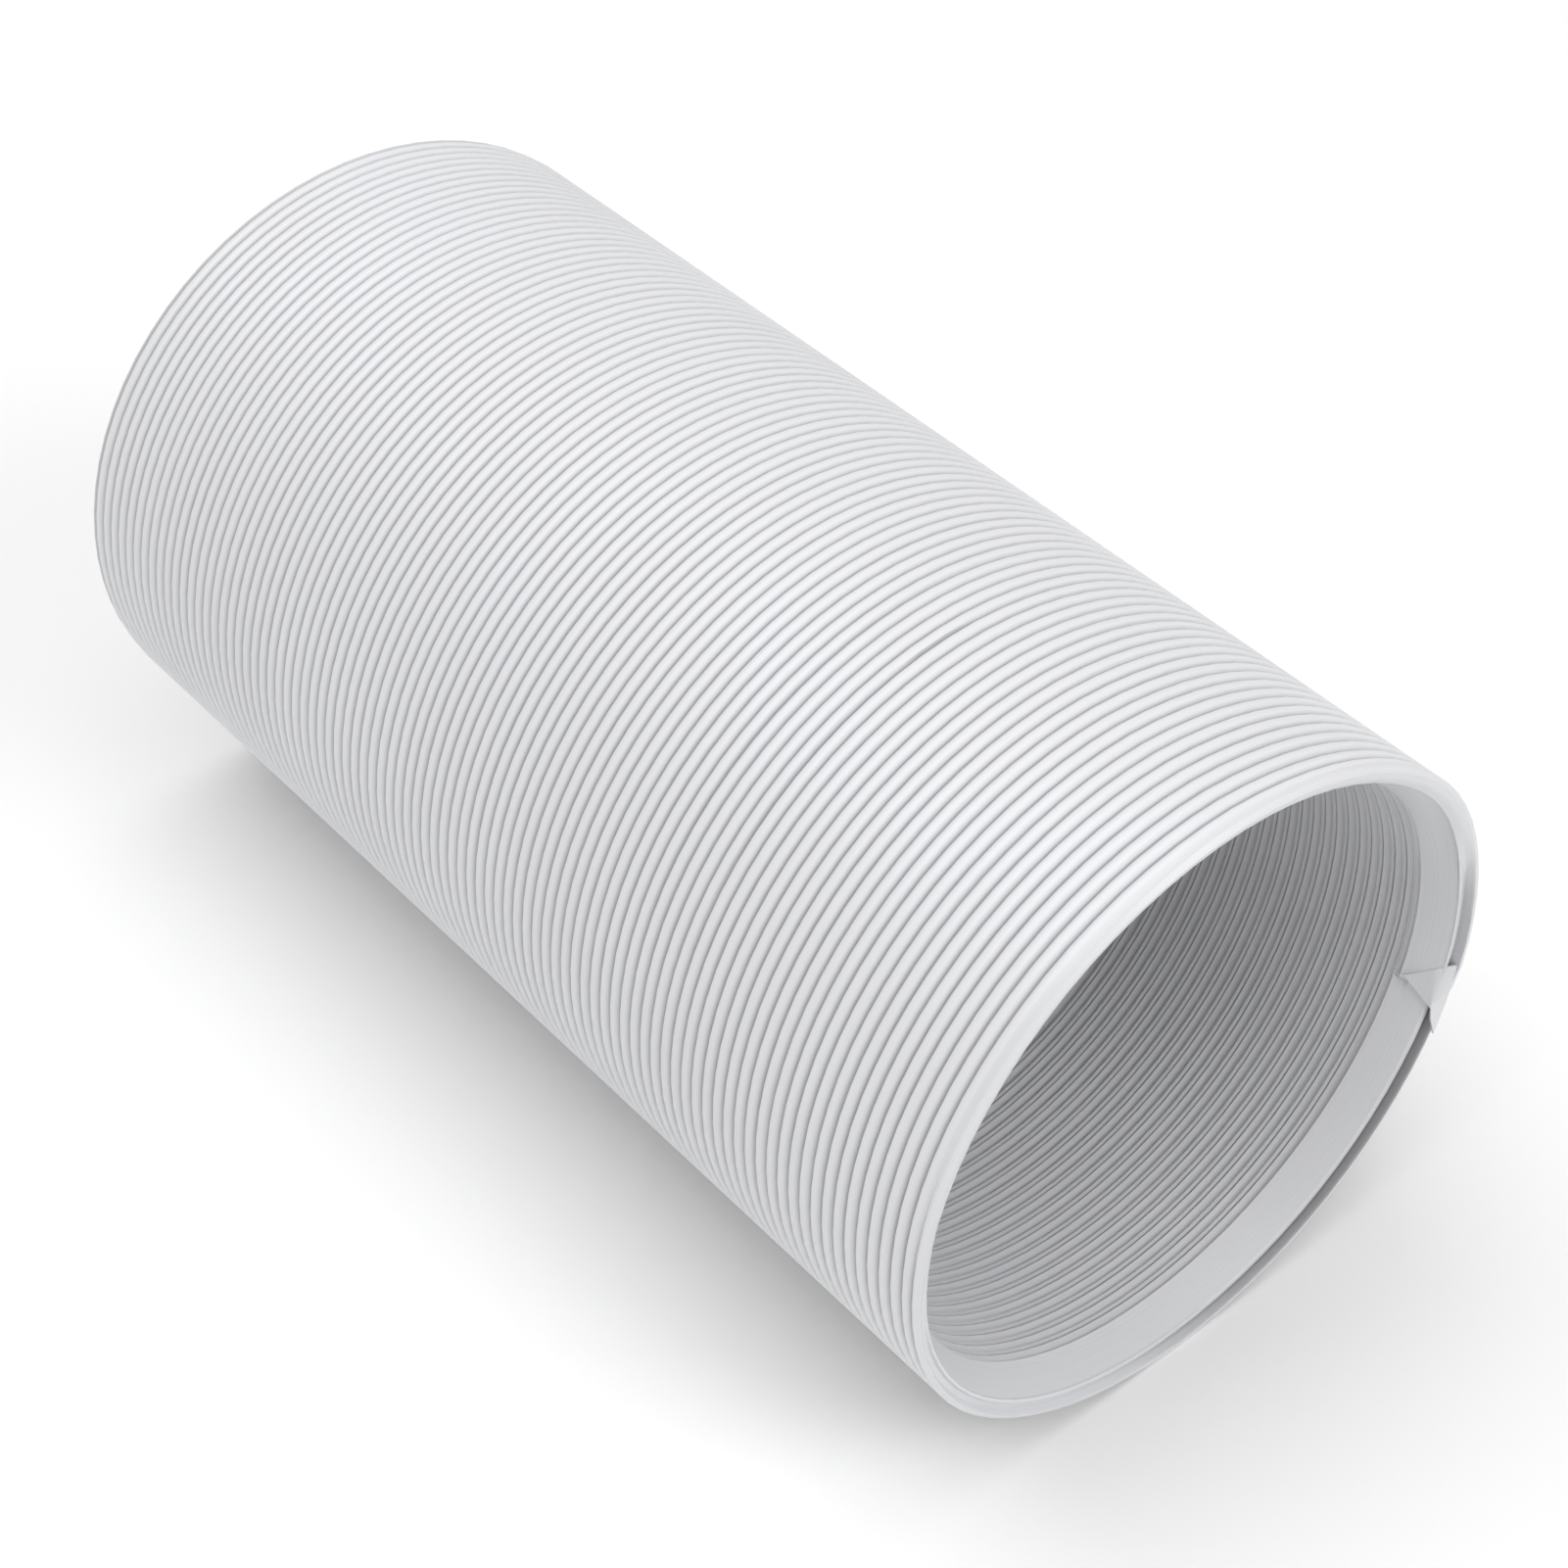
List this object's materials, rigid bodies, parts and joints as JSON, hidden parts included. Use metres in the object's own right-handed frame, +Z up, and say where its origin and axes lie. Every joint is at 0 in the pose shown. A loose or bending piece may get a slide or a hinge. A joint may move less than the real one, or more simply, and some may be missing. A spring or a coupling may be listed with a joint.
{
  "type": "air conditioner exhaust hose",
  "caption": "Collapsible spiral-wound plastic duct hose, pushed together to its shortest length, open at both ends.",
  "frame": {"origin": "on the floor under the middle of the hose, which lies on its side", "axes": "+Y along the hose from the mouth to the far end, +Z up"},
  "size_m": [0.15, 0.2826, 0.15],
  "materials": {
    "white_polypropylene": "satin white moulded strip"
  },
  "bodies": {
    "root": {"spiral_duct_wall": "white_polypropylene"}
  },
  "joints": []
}
